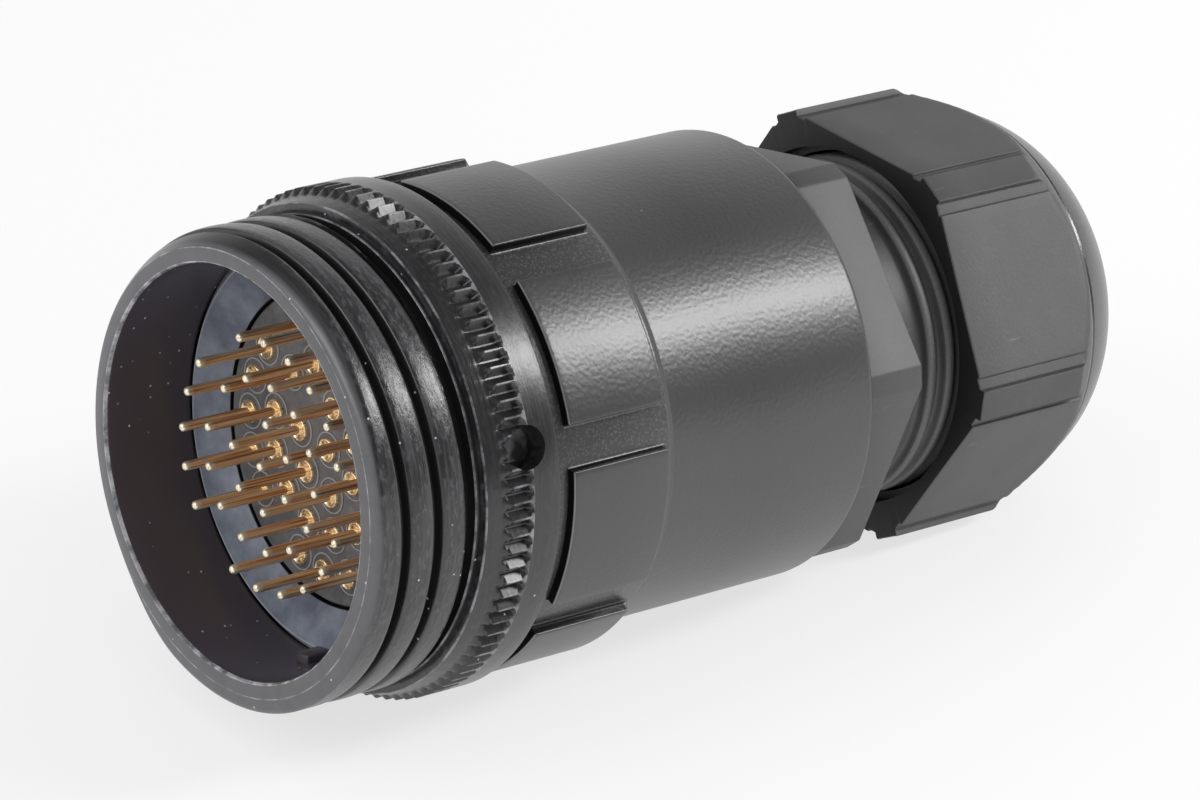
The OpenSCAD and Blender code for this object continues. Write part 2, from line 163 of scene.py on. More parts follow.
# Floor: the part lies on its knurled ring and the nut, so the floor dips towards the rear
floorSet = {
    "through": (0.02105, 0.0, -0.0267), "dip": 4.1, "size": 6.0, "shadowShare": 0.3,
    "paper": {"Base Color": srgb("#fbfbfb"), "Roughness": 0.9, "Specular IOR Level": 0.1},
}
bpy.ops.mesh.primitive_plane_add(size=floorSet["size"], location=floorSet["through"],
                                 rotation=(0, -math.radians(floorSet["dip"]), 0))
floor = bpy.context.object
floor.name = "studioFloor"
floorPaint = bpy.data.materials.new("white paper floor")
floorPaint.use_nodes = True
tree = floorPaint.node_tree
paper = tree.nodes["Principled BSDF"]
setInputs(tree, paper, floorSet["paper"])
path = addNode(tree, "ShaderNodeLightPath")
glow = addNode(tree, "ShaderNodeEmission", {"Color": (1, 1, 1, 1), "Strength": 1.0})
seen = addNode(tree, "ShaderNodeMath", [path.outputs["Is Camera Ray"], path.outputs["Is Glossy Ray"]],
               operation="MAXIMUM")
share = addNode(tree, "ShaderNodeMath", [seen, 1.0 - floorSet["shadowShare"]], operation="MULTIPLY")
mixed = addNode(tree, "ShaderNodeMixShader", [share, paper, glow])
setInputs(tree, tree.nodes["Material Output"], {"Surface": mixed})
floor.data.materials.append(floorPaint)
print("stage 2: camera, lights and floor set")

# In the looks that follow, lengths are in mm and a bump's distance in metres; a cut is two places, or two
# levels of a pattern, and the shares at them; a strip is given as for stripRound

# Anodised aluminium, turned: black and satin, fine turning rings, thread crests and ring rubbed dull grey,
# some dust; thin pale strips on edges and knurl tops, partly wear and partly painted highlights;
# the floor of the hole painted grey as painted light
shellLook = {
    "black": "#1b1b1d", "rubbed": "#454649", "rim": "#545458", "bore": "#433d44", "dust": "#d6d6da",
    "crestCut": (24.3, 24.68, 0.0, 1.0), "ringCut": (24.9, 25.3, 1.0, 0.25),
    "rimCut": (0.25, 0.6, 1.0, 0.0), "boreCut": (21.42, 21.46, 1.0, 0.0),
    "streak": (0.3846, 7.69), "streakCut": (0.45, 0.66, 0.0, 0.7),  # width, length
    "scar": (0.4167, 1.11), "scarCut": (0.5, 0.64, 0.0, 1.0), "scarDepth": 5.0,
    "wear": 2.38, "rimWearCut": (0.3, 0.62, 0.75, 1.0), "bareAndLitCut": (0.42, 0.62, 0.12, 1.0),
    "grit": 1.43, "gritCut": (0.05, 0.10, 1.0, 0.0),
    "gritLevels": (0.0, 1.0, 0.76, 0.49),  # thickest in the bore
    "turning": (0.2778, 41.7), "bump": {"Strength": 0.10, "Distance": 0.0002},
    "roughness": (0.0, 1.0, 0.28, 0.40), "ior": 1.7,
    "bareAndLit": [  # strips and their tones
        # painted highlights: the ring's front edge, the step before it and the tops of the knurl
        (12.78, 0.11, 25.36, 0.12, "#8d8d91"),  # ring's front edge
        (12.27, 0.10, 24.33, 0.10, "#8d8d91"),  # step before it
        (16.3, 1.6, 26.58, 0.045, "#8d8d91"),  # tops of the knurl
        # the inner edge of the rim and the front of the key are painted paler, the outer edge of the rim is a
        # painted highlight
        (0.2, 0.25, 21.57, 0.11, "#c6c6ca"),  # inner edge of the rim
        (0.06, 0.11, 23.11, 0.06, "#a4a4a8"),  # outer edge of the rim
        (7.7, 0.05, 20.9, 0.6, "#8d8d91"),  # front of the key
        # painted light: the floor of the hole painted grey as though lit
        (17.4, 2.3, 23.7, 0.05, "#77777a"),  # floor of the hole
    ],
}
shellPaint, tree, shader, place = newMaterial("black anodised aluminium")
along, radius = fromAxis(tree, place)
crest = addNode(tree, "ShaderNodeMapRange", [radius, *shellLook["crestCut"]])
onRing = addNode(tree, "ShaderNodeMapRange", [radius, *shellLook["ringCut"]])
handled = addNode(tree, "ShaderNodeMath", [crest, onRing], operation="MULTIPLY")
wide, length = shellLook["streak"]
streakMap = addNode(tree, "ShaderNodeMapping", {0: place, 3: (1 / wide, 1 / length, 1 / length)})
streak = addNode(tree, "ShaderNodeTexNoise", {"Vector": streakMap, "Scale": 1.0, "Detail": 3.0})
streaks = addNode(tree, "ShaderNodeMapRange", [streak, *shellLook["streakCut"]])
wide, length = shellLook["scar"]
scarMap = addNode(tree, "ShaderNodeMapping", {0: place, 3: (1 / wide, 1 / length, 1 / length)})
scar = addNode(tree, "ShaderNodeTexNoise", {"Vector": scarMap, "Scale": 1.0, "Detail": 3.0, "Roughness": 0.6})
scars = addNode(tree, "ShaderNodeMapRange", [scar, *shellLook["scarCut"]])
marks = addNode(tree, "ShaderNodeMath", [streaks, scars], operation="MAXIMUM")
rubbed = addNode(tree, "ShaderNodeMath", [handled, marks], operation="MULTIPLY")
tone = addNode(tree, "ShaderNodeMix", {0: rubbed, 6: srgb(shellLook["black"]), 7: srgb(shellLook["rubbed"])},
               data_type="RGBA")
worn = addNode(tree, "ShaderNodeTexNoise",
               {"Vector": place, "Scale": 1 / shellLook["wear"], "Detail": 4.0, "Roughness": 0.65})
rimFade = addNode(tree, "ShaderNodeMapRange", [along, *shellLook["rimCut"]])
rimWorn = addNode(tree, "ShaderNodeMapRange", [worn, *shellLook["rimWearCut"]])
share = addNode(tree, "ShaderNodeMath", [rimFade, rimWorn], operation="MULTIPLY")
tone = addNode(tree, "ShaderNodeMix", {0: share, 6: tone, 7: srgb(shellLook["rim"])}, data_type="RGBA")
bareAndLit = addNode(tree, "ShaderNodeMapRange", [worn, *shellLook["bareAndLitCut"]])
# pale strips, partly wear and partly painted highlights and painted light
for *strip, code in shellLook["bareAndLit"]:
    onStrip = stripRound(tree, along, radius, *strip)
    share = addNode(tree, "ShaderNodeMath", [onStrip, bareAndLit], operation="MULTIPLY")
    tone = addNode(tree, "ShaderNodeMix", {0: share, 6: tone, 7: srgb(code)}, data_type="RGBA")
inBore = addNode(tree, "ShaderNodeMapRange", [radius, *shellLook["boreCut"]])
tone = addNode(tree, "ShaderNodeMix", {0: inBore, 6: tone, 7: srgb(shellLook["bore"])}, data_type="RGBA")
level = addNode(tree, "ShaderNodeMapRange", [inBore, *shellLook["gritLevels"]])
dust = dustSpecks(tree, place, shellLook["grit"], shellLook["gritCut"], level)
tone = addNode(tree, "ShaderNodeMix", {0: dust, 6: tone, 7: srgb(shellLook["dust"])}, data_type="RGBA")
gloss = addNode(tree, "ShaderNodeMapRange", [rubbed, *shellLook["roughness"]])
wide, length = shellLook["turning"]
ringMap = addNode(tree, "ShaderNodeMapping", {0: place, 3: (1 / wide, 1 / length, 1 / length)})
rings = addNode(tree, "ShaderNodeTexNoise", {"Vector": ringMap, "Scale": 1.0, "Detail": 2.0})
dented = addNode(tree, "ShaderNodeMath", [scar, handled], operation="MULTIPLY")
height = addNode(tree, "ShaderNodeMath", [dented, shellLook["scarDepth"], rings], operation="MULTIPLY_ADD")
bump = addNode(tree, "ShaderNodeBump", {"Height": height, **shellLook["bump"]})
setInputs(tree, shader, {"Base Color": tone, "Roughness": gloss, "IOR": shellLook["ior"], "Normal": bump})

# Powder coat, stoved: deep black and glossy, orange peel about half a millimetre across, dusty in the
# grooves, the front edges of the pads rubbed grey, their walls painted near black with less sheen as painted
# shade
sleeveLook = {
    "black": "#303032", "dust": "#8e8e92", "powder": "#6a6a6d", "edge": "#737377", "wall": "#101011",
    "grit": 2.38, "gritCut": (0.03, 0.06, 1.0, 0.0), "gritLevel": 0.9,
    "grooves": (29.0, 8.0, 24.9, 0.04), "speck": 0.2632, "speckCut": (0.54, 0.68, 0.0, 0.5),
    "padEdges": (23.52, 0.08, 25.94, 0.06),
    # painted shade: the pads' walls get the near black wall tone and less sheen
    "padWallShade": (29.5, 6.1, 25.42, 0.44), "sheen": (0.0, 1.0, 0.5, 0.12),
    "roughness": 0.35, "ior": 1.85, "peel": 0.4545, "bump": {"Strength": 0.085, "Distance": 0.00034},
}
sleevePaint, tree, shader, place = newMaterial("black powder coat")
along, radius = fromAxis(tree, place)
dust = dustSpecks(tree, place, sleeveLook["grit"], sleeveLook["gritCut"], sleeveLook["gritLevel"])
tone = addNode(tree, "ShaderNodeMix", {0: dust, 6: srgb(sleeveLook["black"]), 7: srgb(sleeveLook["dust"])},
               data_type="RGBA")
inGroove = stripRound(tree, along, radius, *sleeveLook["grooves"])
speck = addNode(tree, "ShaderNodeTexNoise",
                {"Vector": place, "Scale": 1 / sleeveLook["speck"], "Detail": 1.0})
powder = addNode(tree, "ShaderNodeMapRange", [speck, *sleeveLook["speckCut"]])
share = addNode(tree, "ShaderNodeMath", [inGroove, powder], operation="MULTIPLY")
tone = addNode(tree, "ShaderNodeMix", {0: share, 6: tone, 7: srgb(sleeveLook["powder"])}, data_type="RGBA")
onEdge = stripRound(tree, along, radius, *sleeveLook["padEdges"])
tone = addNode(tree, "ShaderNodeMix", {0: onEdge, 6: tone, 7: srgb(sleeveLook["edge"])}, data_type="RGBA")
# painted shade on the pads' walls
onWallShade = stripRound(tree, along, radius, *sleeveLook["padWallShade"])
tone = addNode(tree, "ShaderNodeMix", {0: onWallShade, 6: tone, 7: srgb(sleeveLook["wall"])}, data_type="RGBA")
sheen = addNode(tree, "ShaderNodeMapRange", [onWallShade, *sleeveLook["sheen"]])
peel = addNode(tree, "ShaderNodeTexNoise", {"Vector": place, "Scale": 1 / sleeveLook["peel"], "Detail": 0.5})
bump = addNode(tree, "ShaderNodeBump", {"Height": peel, **sleeveLook["bump"]})
setInputs(tree, shader, {"Base Color": tone, "Roughness": sleeveLook["roughness"], "IOR": sleeveLook["ior"],
                         "Specular IOR Level": sheen, "Normal": bump})

# Glass-filled nylon, moulded: black with a broad satin sheen, faintly cloudy, scuffed, its thread crests
# painted grey, partly as scuffing and partly as a painted highlight, the nut's front face painted near black
# with less sheen as painted shade; the nut's dome comes polished from the tool
nylonLook = {
    "tones": ("#303032", "#3b3b3d"), "cloud": 6.25, "cloudLevels": (0.3, 0.75),
    "scuffed": "#6a6a6c", "scuff": (3.85, 0.4167, 1.43), "scuffTurn": (0.4, 0.7, 0.2),
    "scuffCut": (0.7, 0.8, 0.0, 0.55),
    # the crest tone is partly scuffing and partly a painted highlight
    "crests": (81.3, 8.7, 18.32, 0.16), "crestWearAndHighlight": "#5c5c5e", "crestWearAndHighlightShare": 0.8,
    # painted shade: the nut's front face near black with less sheen
    "face": (81.2, 0.03, 21.8, 2.3), "faceShadeTone": "#1a1a1b", "sheen": (0.0, 1.0, 0.5, 0.15),
    "grain": 0.3125, "grainCut": (0.3, 0.7, 0.86, 1.14), "bump": {"Strength": 0.07, "Distance": 0.0003},
    "roughness": (98.2, 99.6, 0.56, 0.27), "ior": 1.95,
}
nylonPaint, tree, shader, place = newMaterial("moulded black nylon")
along, radius = fromAxis(tree, place)
cloud = addNode(tree, "ShaderNodeTexNoise",
                {"Vector": place, "Scale": 1 / nylonLook["cloud"], "Detail": 5.0, "Roughness": 0.65})
tone = addNode(tree, "ShaderNodeValToRGB", [cloud])
for stop, level, code in zip(tone.color_ramp.elements, nylonLook["cloudLevels"], nylonLook["tones"]):
    stop.position, stop.color = level, srgb(code)
scuffMap = addNode(tree, "ShaderNodeMapping", {0: place, 2: nylonLook["scuffTurn"],
                                               3: [1 / size for size in nylonLook["scuff"]]})
scuff = addNode(tree, "ShaderNodeTexNoise", {"Vector": scuffMap, "Scale": 1.0, "Detail": 2.0})
scuffed = addNode(tree, "ShaderNodeMapRange", [scuff, *nylonLook["scuffCut"]])
tone = addNode(tree, "ShaderNodeMix", {0: scuffed, 6: tone, 7: srgb(nylonLook["scuffed"])}, data_type="RGBA")
# thread crests painted grey, partly scuffing and partly a painted highlight
onCrest = stripRound(tree, along, radius, *nylonLook["crests"])
share = addNode(tree, "ShaderNodeMath", [onCrest, nylonLook["crestWearAndHighlightShare"]], operation="MULTIPLY")
tone = addNode(tree, "ShaderNodeMix", {0: share, 6: tone, 7: srgb(nylonLook["crestWearAndHighlight"])}, data_type="RGBA")
# painted shade on the nut's front face
onShadedFace = stripRound(tree, along, radius, *nylonLook["face"])
tone = addNode(tree, "ShaderNodeMix", {0: onShadedFace, 6: tone, 7: srgb(nylonLook["faceShadeTone"])}, data_type="RGBA")
sheen = addNode(tree, "ShaderNodeMapRange", [onShadedFace, *nylonLook["sheen"]])
grain = addNode(tree, "ShaderNodeTexNoise", {"Vector": place, "Scale": 1 / nylonLook["grain"], "Detail": 2.0})
speck = addNode(tree, "ShaderNodeMapRange", [grain, *nylonLook["grainCut"]])
tone = addNode(tree, "ShaderNodeVectorMath", {0: tone, "Scale": speck}, operation="SCALE")
gloss = addNode(tree, "ShaderNodeMapRange", [along, *nylonLook["roughness"]])
bump = addNode(tree, "ShaderNodeBump", {"Height": grain, **nylonLook["bump"]})
setInputs(tree, shader, {"Base Color": tone, "Roughness": gloss, "IOR": nylonLook["ior"],
                         "Specular IOR Level": sheen, "Normal": bump})

# Silicone rubber, moulded: blue-grey, handled until it is smudged and half shiny, its outer edge painted
# paler, the gap at its inner edge painted near black as painted shade
sealLook = {
    "tones": ("#4e5566", "#939aa8"), "smudge": 6.67, "smudgeLevels": (0.36, 0.72),
    "edge": "#c3c6cc", "edgeCut": (20.74, 20.9, 0.0, 0.7),
    # painted shade: the gap at the inner edge darkened to near black
    "gapShade": "#0c0c0e", "gapCut": (16.66, 16.7, 1.0, 0.0),
    "roughness": (0.3, 0.7, 0.3, 0.55), "bump": {"Strength": 0.12, "Distance": 0.0004},
}
sealPaint, tree, shader, place = newMaterial("blue-grey silicone rubber")
radius = fromAxis(tree, place)[1]
smudge = addNode(tree, "ShaderNodeTexNoise",
                 {"Vector": place, "Scale": 1 / sealLook["smudge"], "Detail": 5.0, "Roughness": 0.62})
tone = addNode(tree, "ShaderNodeValToRGB", [smudge])
for stop, level, code in zip(tone.color_ramp.elements, sealLook["smudgeLevels"], sealLook["tones"]):
    stop.position, stop.color = level, srgb(code)
edge = addNode(tree, "ShaderNodeMapRange", [radius, *sealLook["edgeCut"]])
tone = addNode(tree, "ShaderNodeMix", {0: edge, 6: tone, 7: srgb(sealLook["edge"])}, data_type="RGBA")
# painted shade in the gap at the seal's inner edge
inGap = addNode(tree, "ShaderNodeMapRange", [radius, *sealLook["gapCut"]])
tone = addNode(tree, "ShaderNodeMix", {0: inGap, 6: tone, 7: srgb(sealLook["gapShade"])}, data_type="RGBA")
gloss = addNode(tree, "ShaderNodeMapRange", [smudge, *sealLook["roughness"]])
bump = addNode(tree, "ShaderNodeBump", {"Height": smudge, **sealLook["bump"]})
setInputs(tree, shader, {"Base Color": tone, "Roughness": gloss, "Normal": bump})

# Thermoset, moulded: dull dark grey with pale dust in its texture, the raised rings rubbed paler
insulatorLook = {
    "tones": ("#555558", "#7c7b7c"), "chalk": 1.923, "chalkLevels": (0.35, 0.8),
    "raised": "#b4b4b6", "raisedCut": (12.48, 12.56, 0.75, 0.0),
    "roughness": 0.45, "bump": {"Strength": 0.1, "Distance": 0.0003},
}
insulatorPaint, tree, shader, place = newMaterial("dark grey thermoset")
chalk = addNode(tree, "ShaderNodeTexNoise",
                {"Vector": place, "Scale": 1 / insulatorLook["chalk"], "Detail": 6.0, "Roughness": 0.7})
tone = addNode(tree, "ShaderNodeValToRGB", [chalk])
for stop, level, code in zip(tone.color_ramp.elements, insulatorLook["chalkLevels"], insulatorLook["tones"]):
    stop.position, stop.color = level, srgb(code)
axes = addNode(tree, "ShaderNodeSeparateXYZ", [place])
raised = addNode(tree, "ShaderNodeMapRange", [axes, *insulatorLook["raisedCut"]])
tone = addNode(tree, "ShaderNodeMix", {0: raised, 6: tone, 7: srgb(insulatorLook["raised"])},
               data_type="RGBA")
bump = addNode(tree, "ShaderNodeBump", {"Height": chalk, **insulatorLook["bump"]})
setInputs(tree, shader, {"Base Color": tone, "Roughness": insulatorLook["roughness"], "Normal": bump})

# Gold over brass, drawn and turned: polished tips and rich collars painted pale cream, partly a painted
# highlight, coppery shafts with long streaks
goldLook = {
    "length": (3.6, 12.6),
    # the pale cream of the tips and the collars is partly a painted highlight
    "parts": [(0.0, "#fff4de", 0.36), (0.06, "#fff1d6", 0.36), (0.1, "#ecb684", 0.3), (0.9, "#e0a26c", 0.3),
              (0.935, "#fddfae", 0.22), (1.0, "#ffe6bf", 0.22)],  # share of the length, tone, roughness
    "streak": (14.29, 0.2083), "pale": "#fff0d0", "paleCut": (0.44, 0.62, 0.0, 0.85),  # length, width
    "dark": "#8a5630", "darkCut": (0.34, 0.46, 0.7, 0.0),
    "metallic": 0.82, "bump": {"Strength": 0.2, "Distance": 0.0001},
}
goldPaint, tree, shader, place = newMaterial("gold plated brass")
axes = addNode(tree, "ShaderNodeSeparateXYZ", [place])
along = addNode(tree, "ShaderNodeMapRange", [axes, *goldLook["length"]])
shaft = addNode(tree, "ShaderNodeValToRGB", [along])
gloss = addNode(tree, "ShaderNodeValToRGB", [along])
for ramp, colours in ((shaft.color_ramp, [srgb(code) for at, code, dull in goldLook["parts"]]),
                      (gloss.color_ramp, [(dull, dull, dull, 1) for at, code, dull in goldLook["parts"]])):
    ramp.elements[0].color, ramp.elements[1].color = colours[0], colours[-1]
    for part, colour in zip(goldLook["parts"][1:-1], colours[1:-1]):
        ramp.elements.new(part[0]).color = colour
length, wide = goldLook["streak"]
drawn = addNode(tree, "ShaderNodeMapping", {0: place, 3: (1 / length, 1 / wide, 1 / wide)})
lines = addNode(tree, "ShaderNodeTexNoise", {"Vector": drawn, "Scale": 1.0, "Detail": 2.0})
pale = addNode(tree, "ShaderNodeMapRange", [lines, *goldLook["paleCut"]])
tone = addNode(tree, "ShaderNodeMix", {0: pale, 6: shaft, 7: srgb(goldLook["pale"])}, data_type="RGBA")
dark = addNode(tree, "ShaderNodeMapRange", [lines, *goldLook["darkCut"]])
tone = addNode(tree, "ShaderNodeMix", {0: dark, 6: tone, 7: srgb(goldLook["dark"])}, data_type="RGBA")
bump = addNode(tree, "ShaderNodeBump", {"Height": lines, **goldLook["bump"]})
setInputs(tree, shader, {"Base Color": tone, "Metallic": goldLook["metallic"], "Roughness": gloss,
                         "Normal": bump})

# Nitrile rubber of the O-rings and the cable seal: black and dull, faintly bloomed
rubberLook = {"tones": ("#1c1c1d", "#2c2c2d"), "bloom": 3.33, "roughness": 0.6}
rubberPaint, tree, shader, place = newMaterial("black nitrile rubber")
bloom = addNode(tree, "ShaderNodeTexNoise",
                {"Vector": place, "Scale": 1 / rubberLook["bloom"], "Detail": 4.0})
tone = addNode(tree, "ShaderNodeValToRGB", [bloom])
for stop, code in zip(tone.color_ramp.elements, rubberLook["tones"]):
    stop.color = srgb(code)
setInputs(tree, shader, {"Base Color": tone, "Roughness": rubberLook["roughness"]})
print("stage 3: materials mixed")


def clearSelection():
    if bpy.context.mode != "OBJECT":
        bpy.ops.object.mode_set(mode="OBJECT")
    bpy.ops.object.select_all(action="DESELECT")


def openPiece(piece):
    clearSelection()
    piece.select_set(True)
    bpy.context.view_layer.objects.active = piece
    bpy.ops.object.mode_set(mode="EDIT")
    bpy.ops.mesh.select_mode(type="VERT")
    bpy.ops.mesh.select_all(action="SELECT")


# a run of points (x, radius) in mm, extruded point by point in the XY plane
def drawLine(name, points):
    clearSelection()
    bpy.ops.mesh.primitive_plane_add(size=mm)
    piece = bpy.context.object
    piece.name = piece.data.name = name
    bpy.ops.object.mode_set(mode="EDIT")
    bpy.ops.mesh.select_all(action="SELECT")
    bpy.ops.mesh.merge(type="CENTER")
    here = (0, 0)
    for step, (x, r) in enumerate(points):
        move = ((x - here[0]) * mm, (r - here[1]) * mm, 0)
        if step:
            bpy.ops.mesh.extrude_vertices_move(TRANSFORM_OT_translate={"value": move})
        else:
            bpy.ops.transform.translate(value=move)
        here = (x, r)
    bpy.ops.object.mode_set(mode="OBJECT")
    return piece


# half of a thread's section, mirrored to a whole one and moved along the axis
def wholeSection(half, x):
    return [(x - w, r) for w, r in reversed(half)] + [(x + w, r) for w, r in half[1:]]


# turns a line about the X axis, with a rise per turn where it is a thread
def turnLine(piece, steps, rise=0.0, turns=1):
    wind = piece.modifiers.new("turned", "SCREW")
    wind.axis = "X"
    wind.angle = math.tau
    wind.screw_offset = rise * mm
    wind.iterations = turns
    wind.steps = wind.render_steps = steps
    wind.use_merge_vertices = True
    wind.merge_threshold = tiny
    bpy.context.view_layer.objects.active = piece
    bpy.ops.object.modifier_apply(modifier="turned")
    openPiece(piece)
    bpy.ops.mesh.remove_doubles(threshold=10 * tiny)
    bpy.ops.object.mode_set(mode="OBJECT")


def cutAt(piece, x, front=False, rear=False):
    openPiece(piece)
    bpy.ops.mesh.bisect(plane_co=(x * mm, 0, 0), plane_no=(1, 0, 0), clear_inner=front, clear_outer=rear,
                        threshold=tiny)
    bpy.ops.object.mode_set(mode="OBJECT")


# moves every point to the (x, radius, turn) that shape gives for its own, in mm and degrees
def reshape(piece, shape):
    for vertex in piece.data.vertices:
        x, y, z = vertex.co / mm
        x, r, turn = shape(x, math.hypot(y, z), math.degrees(math.atan2(z, y)) % 360)
        angle = math.radians(turn)
        vertex.co = Vector((x, r * math.cos(angle), r * math.sin(angle))) * mm


def pickAt(piece, x):
    openPiece(piece)
    bpy.ops.mesh.select_all(action="DESELECT")
    bpy.ops.object.mode_set(mode="OBJECT")
    for vertex in piece.data.vertices:
        vertex.select = abs(vertex.co.x - x * mm) < 2 * tiny
    bpy.ops.object.mode_set(mode="EDIT")


# leaves the piece in edit mode with those edges selected that the test says
def pickEdges(piece, test):
    openPiece(piece)
    bpy.ops.mesh.select_mode(type="EDGE")
    bpy.ops.mesh.select_all(action="DESELECT")
    bpy.ops.object.mode_set(mode="OBJECT")
    for edge in piece.data.edges:
        edge.select = test(edge)
    bpy.ops.object.mode_set(mode="EDIT")


# carries the open end at x through further points (x, radius) and leaves the last ring selected
def carryOn(piece, x, points):
    pickAt(piece, x)
    for nextX, nextR in points:
        bpy.ops.mesh.extrude_region_move(TRANSFORM_OT_translate={"value": ((nextX - x) * mm, 0, 0)})
        bpy.ops.object.mode_set(mode="OBJECT")
        for vertex in piece.data.vertices:
            if vertex.select:
                size = nextR * mm / math.hypot(vertex.co.y, vertex.co.z)
                vertex.co = (vertex.co.x, vertex.co.y * size, vertex.co.z * size)
        bpy.ops.object.mode_set(mode="EDIT")
        x = nextX
    bpy.ops.object.mode_set(mode="OBJECT")


def closeBetween(piece, x):
    pickAt(piece, x)
    bpy.ops.mesh.bridge_edge_loops()
    bpy.ops.object.mode_set(mode="OBJECT")


def copyOf(piece):
    clearSelection()
    piece.select_set(True)
    bpy.context.view_layer.objects.active = piece
    bpy.ops.object.duplicate()
    return bpy.context.object


def joinAll(main, others):
    clearSelection()
    for other in others:
        other.select_set(True)
    main.select_set(True)
    bpy.context.view_layer.objects.active = main
    bpy.ops.object.join()


# faces that meet at less than the angle, in degrees, are shaded as one round surface
def finishPiece(piece, paint, body, nodes, angle=32):
    openPiece(piece)
    bpy.ops.mesh.normals_make_consistent(inside=False)
    bpy.ops.object.mode_set(mode="OBJECT")
    bpy.ops.object.shade_smooth_by_angle(angle=math.radians(angle))
    piece.data.materials.clear()
    piece.data.materials.append(paint)
    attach(piece, body)
    if nodes:
        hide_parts(*nodes)


def clamped(share):
    return min(max(share, 0), 1)


def eased(share):
    return share * share * (3 - 2 * share)


# the smaller of two values, rounded where they meet
def softLeast(a, b, width):
    near = max(width - abs(a - b), 0) / width
    return min(a, b) - near * near * width / 4


# Nose: rounded thread outside and plain bore inside, wound from the section of one groove
noseSet = {
    "pitch": 4.0, "grooveAt": 1.5, "steps": 360, "laps": 6, "lapsAhead": 2, "smooth": 28,
    "groove": [(0, 23.42), (0.22, 23.43), (0.3, 23.5), (0.37, 23.7), (0.45, 24.0), (0.53, 24.3),
               (0.59, 24.45), (0.67, 24.54), (0.85, 24.6), (1.2, 24.66), (1.6, 24.69),
               (2.0, 24.7)],  # half width, radius
    "crest": 24.7, "rim": 23.1, "rimRound": (0.2, 0.14), "blend": 0.12,
    "rows": (0.08, 0.2, 0.35, 0.5, 0.7, 0.95, 1.25, 1.6, 2.0, 2.4, 10.6, 10.9, 11.2, 11.5, 12.0),
    "startTurns": (50, 190, 285, 325), "startLeads": (3.0, 0.5), "leadPower": 0.7,
    "startRise": 1.15, "risePower": 1.5,
    "relief": 23.1, "reliefFrom": 10.9, "reliefTo": 11.5, "reliefBlend": 0.1, "rear": 13.0,
    "bore": [(0.0, 21.62), (0.05, 21.57), (0.52, 21.42), (0.6, 21.4), (10.8, 21.4), (10.8, 22.1),
             (13.0, 22.1)],
}
firstAt = noseSet["grooveAt"] - noseSet["lapsAhead"] * noseSet["pitch"]
noseShell = drawLine("noseShell", wholeSection(noseSet["groove"], firstAt))
turnLine(noseShell, noseSet["steps"], noseSet["pitch"], noseSet["laps"])
cutAt(noseShell, 0.0, front=True)
cutAt(noseShell, noseSet["rear"], rear=True)
for x in noseSet["rows"]:
    cutAt(noseShell, x)


# The thread starts blunt: its first ridge is turned away at the top and swells to full height lower down
def noseForm(x, r, turn):
    a, b, c, d = noseSet["startTurns"]
    swell = eased(clamped((turn - a) / (b - a)) * clamped((d - turn) / (d - c)))
    firstGroove = noseSet["grooveAt"] + noseSet["pitch"] * (turn if turn < d else turn - 360) / 360
    if x < firstGroove - noseSet["pitch"] / 2:
        r += (noseSet["crest"] - r) * swell
    if x < firstGroove:
        longest, shortest = noseSet["startLeads"]
        lead = longest + (shortest - longest) * swell ** noseSet["leadPower"]
        rim = noseSet["rim"] + noseSet["startRise"] * swell ** noseSet["risePower"]
        ramp = min(x / lead, 1)
        r = softLeast(r, rim + (noseSet["crest"] - rim) * ramp * (3 - ramp) / 2, noseSet["blend"])
    deep, fall = noseSet["rimRound"]
    if x < deep:
        r -= fall * (1 - x / deep) ** 2
    share = clamped((x - noseSet["reliefFrom"]) / (noseSet["reliefTo"] - noseSet["reliefFrom"]))
    neck = noseSet["crest"] + (noseSet["relief"] - noseSet["crest"]) * share
    return x, softLeast(r, neck, noseSet["reliefBlend"]), turn


reshape(noseShell, noseForm)
carryOn(noseShell, 0.0, noseSet["bore"])
closeBetween(noseShell, noseSet["rear"])
print("stage 4: nose thread", len(noseShell.data.polygons), "faces")

# Knurled ring and spigot: one turned section, its knurl pressed in tooth by tooth
ringSet = {
    "front": [(12.7, 21.9), (12.2, 22.6), (12.2, 24.25), (12.26, 24.34), (12.36, 24.38), (12.7, 24.4),
              (12.7, 25.26), (12.72, 25.33), (12.77, 25.37), (12.85, 25.4), (12.95, 25.43), (14.2, 25.755),
              (14.3, 25.78), (14.4, 25.8), (14.5, 25.84), (14.75, 25.96), (15.0, 26.2), (15.25, 26.5),
              (15.36, 26.58)],
    "rows": (15.5, 16.1, 17.0, 17.3, 17.5, 17.7, 17.9, 19.5, 20.95), "radius": 26.6,
    "rear": [(21.14, 26.55), (21.26, 26.42), (21.3, 26.2), (21.3, 22.8), (22.6, 22.8), (22.8, 23.0),
             (32.5, 23.0), (33.0, 22.5), (33.0, 21.9), (12.7, 21.9)],
    "teeth": 96, "knurlFrom": 14.29, "knurlTo": 17.9, "runOut": 17.3, "floor": 25.76, "under": 24.76,
    "slope": 1.18,
    "columns": (0.0, 0.09, 0.45, 0.8, 0.8705, 0.941, 1.291, 1.651),  # round the ring, from a groove
    "hole": {"x": 17.4, "turn": 158.9, "radius": 2.25, "floor": 23.7, "length": 8.0, "steps": 64},
}
onTop = [(x, ringSet["radius"]) for x in ringSet["rows"]]
ring = drawLine("ring", ringSet["front"] + onTop + ringSet["rear"])
perTooth = len(ringSet["columns"])
turnLine(ring, ringSet["teeth"] * perTooth)
toothMm = math.tau * ringSet["radius"] / ringSet["teeth"]


